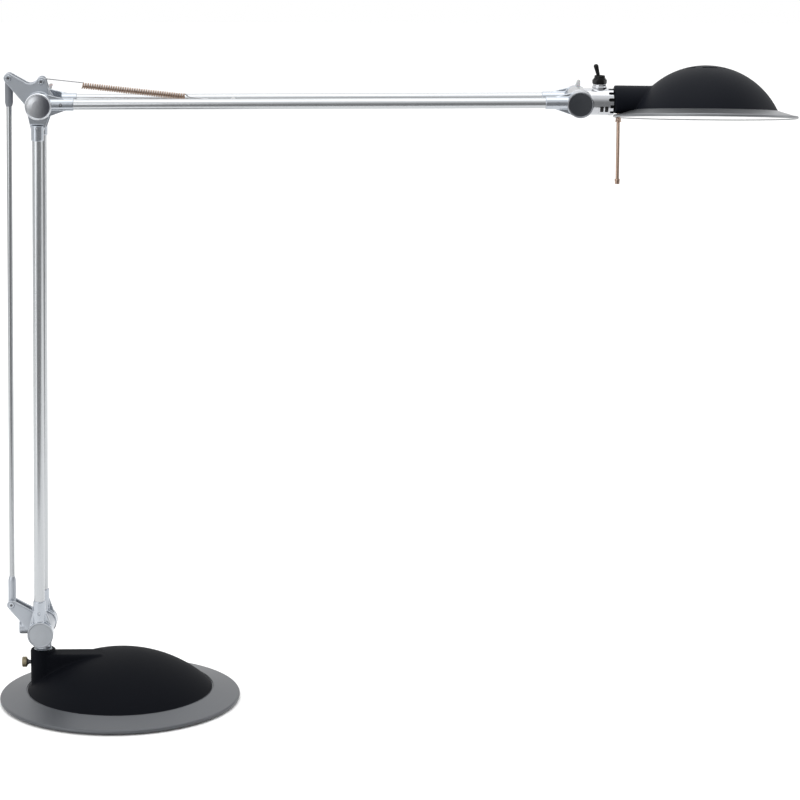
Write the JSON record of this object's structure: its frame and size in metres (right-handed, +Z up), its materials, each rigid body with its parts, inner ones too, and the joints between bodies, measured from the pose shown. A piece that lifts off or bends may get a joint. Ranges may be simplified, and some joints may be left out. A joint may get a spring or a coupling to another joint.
{
  "type": "swing arm desk lamp",
  "caption": "Desk lamp with a round weighted foot, twin-tube swing arms, a parallelogram rod, a balance spring and a domed shade that tilts and swivels.",
  "frame": {"origin": "centre of the underside of the foot, on the table", "axes": "+X along the upper arm towards the head, +Y away from the front of the lamp, +Z up"},
  "size_m": [0.7851, 0.24, 0.6371],
  "materials": {
    "satin_steel": "satin",
    "felt_black": "matte felt",
    "black_moulding": "fine matte grain",
    "black_gloss": "semi gloss",
    "zinc_hardware": "zinc plated",
    "black_hardware": "blackened",
    "cast_ballast": "rough cast",
    "transformer_tape": "tape wrapped",
    "nylon_bush": "plain",
    "black_rubber": "matte",
    "nickel_brass": "knurled, dull nickel",
    "silver_casting": "satin silver lacquer",
    "satin_tube": "satin anodised",
    "bright_casting": "bright",
    "spring_copper": "copper-coloured wire",
    "skirt_silver": "satin silver lacquer",
    "reflector_white": "white lacquer",
    "ceramic_cream": "unglazed",
    "clear_glass": "clear",
    "rose_copper": "satin rose"
  },
  "bodies": {
    "base": {"base_plate": "satin_steel", "felt_pad": "felt_black", "dome_cover": "black_moulding", "dome_screws": "zinc_hardware", "ballast_ring": "cast_ballast", "transformer": "transformer_tape", "transformer_bolt": "zinc_hardware", "post_bush": "nylon_bush", "cord_gland": "black_rubber"},
    "lock_screw": {"swivel_lock_screw": "nickel_brass"},
    "post": {"post_casting": "silver_casting", "stub_plug": "nylon_bush", "lower_rod_pin": "black_hardware"},
    "lower_arm": {"lower_tube_front": "satin_tube", "lower_tube_rear": "satin_tube", "lower_foot_fittings": "silver_casting", "lower_top_fittings": "silver_casting", "lower_set_screws": "black_hardware", "lower_pivot_bolt": "zinc_hardware", "lower_joint_caps": "silver_casting", "lower_arm_washers": "black_rubber", "elbow_bolt": "zinc_hardware", "elbow_cap": "silver_casting", "lower_lead": "black_rubber"},
    "rod": {"parallel_rod": "satin_steel", "rod_lower_end": "silver_casting", "rod_upper_end": "silver_casting"},
    "elbow": {"elbow_plate": "silver_casting", "upper_rod_pin": "black_hardware", "spring_pin": "black_hardware"},
    "upper_arm": {"upper_tube_front": "satin_tube", "upper_tube_rear": "satin_tube", "upper_elbow_fittings": "silver_casting", "upper_head_fittings": "silver_casting", "upper_set_screws": "black_hardware", "spring_cross_bar": "zinc_hardware", "spring_coil": "spring_copper", "spring_hook_wire": "spring_copper", "head_bolt": "zinc_hardware", "head_cap": "silver_casting", "head_washers": "black_rubber", "upper_lead": "black_rubber"},
    "elbow_clamp": {"elbow_clamp_nut": "silver_casting"},
    "head_clamp": {"head_clamp_nut": "silver_casting"},
    "barrel": {"barrel_casting": "bright_casting", "barrel_pad": "bright_casting", "switch_body": "black_gloss", "switch_nut": "black_gloss"},
    "toggle": {"toggle_lever": "black_gloss"},
    "head": {"shade_dome": "black_moulding", "swivel_spigot": "zinc_hardware", "skirt_ring": "skirt_silver", "reflector": "reflector_white", "lampholder": "ceramic_cream", "halogen_capsule": "clear_glass", "glass_shield": "clear_glass", "shield_clips": "zinc_hardware", "handle_collar": "rose_copper", "handle_rod": "rose_copper", "handle_knob": "rose_copper"}
  },
  "joints": [
    {"name": "base_swivel", "type": "hinge", "parent": "base", "child": "post", "pos_m": [-0.0764, 0, 0.05], "axis": [0, 0, 1], "range_deg": [-170, 170]},
    {"name": "lock_screw_turn", "type": "hinge", "parent": "base", "child": "lock_screw", "pos_m": [-0.0914, 0, 0.0383], "axis": [1, 0, 0], "range_deg": [-180, 180]},
    {"name": "lower_tilt", "type": "hinge", "parent": "post", "child": "lower_arm", "pos_m": [-0.0764, 0, 0.0747], "axis": [0, 1, 0], "range_deg": [-18, 55]},
    {"name": "rod_swing", "type": "hinge", "parent": "post", "child": "rod", "pos_m": [-0.10613, 0, 0.09947], "axis": [0, 1, 0], "range_deg": [-18, 55]},
    {"name": "elbow_level", "type": "hinge", "parent": "lower_arm", "child": "elbow", "pos_m": [-0.06725, 0, 0.59902], "axis": [0, 1, 0], "range_deg": [-55, 18]},
    {"name": "upper_tilt", "type": "hinge", "parent": "elbow", "child": "upper_arm", "pos_m": [-0.06725, 0, 0.59902], "axis": [0, 1, 0], "range_deg": [-55, 33], "deforming": ["spring_hook_wire"]},
    {"name": "elbow_clamp_turn", "type": "hinge", "parent": "lower_arm", "child": "elbow_clamp", "pos_m": [-0.06725, 0.03, 0.59902], "axis": [0, 1, 0], "range_deg": [-60, 60]},
    {"name": "head_clamp_turn", "type": "hinge", "parent": "upper_arm", "child": "head_clamp", "pos_m": [0.45135, 0.03, 0.60083], "axis": [0, 1, 0], "range_deg": [-60, 60]},
    {"name": "head_tilt", "type": "hinge", "parent": "upper_arm", "child": "barrel", "pos_m": [0.45135, 0, 0.60083], "axis": [0, 1, 0], "range_deg": [-75, 75]},
    {"name": "toggle_flip", "type": "hinge", "parent": "barrel", "child": "toggle", "pos_m": [0.47189, 0, 0.62058], "axis": [0, 1, 0], "range_deg": [0, 30]},
    {"name": "head_swivel", "type": "hinge", "parent": "barrel", "child": "head", "pos_m": [0.48555, 0, 0.60041], "axis": [0.9999, 0, -0.0122], "range_deg": [-120, 120]}
  ],
  "couplings": [
    {"joint": "rod_swing", "follows": "lower_tilt", "ratio": 1},
    {"joint": "elbow_level", "follows": "lower_tilt", "ratio": -1}
  ]
}
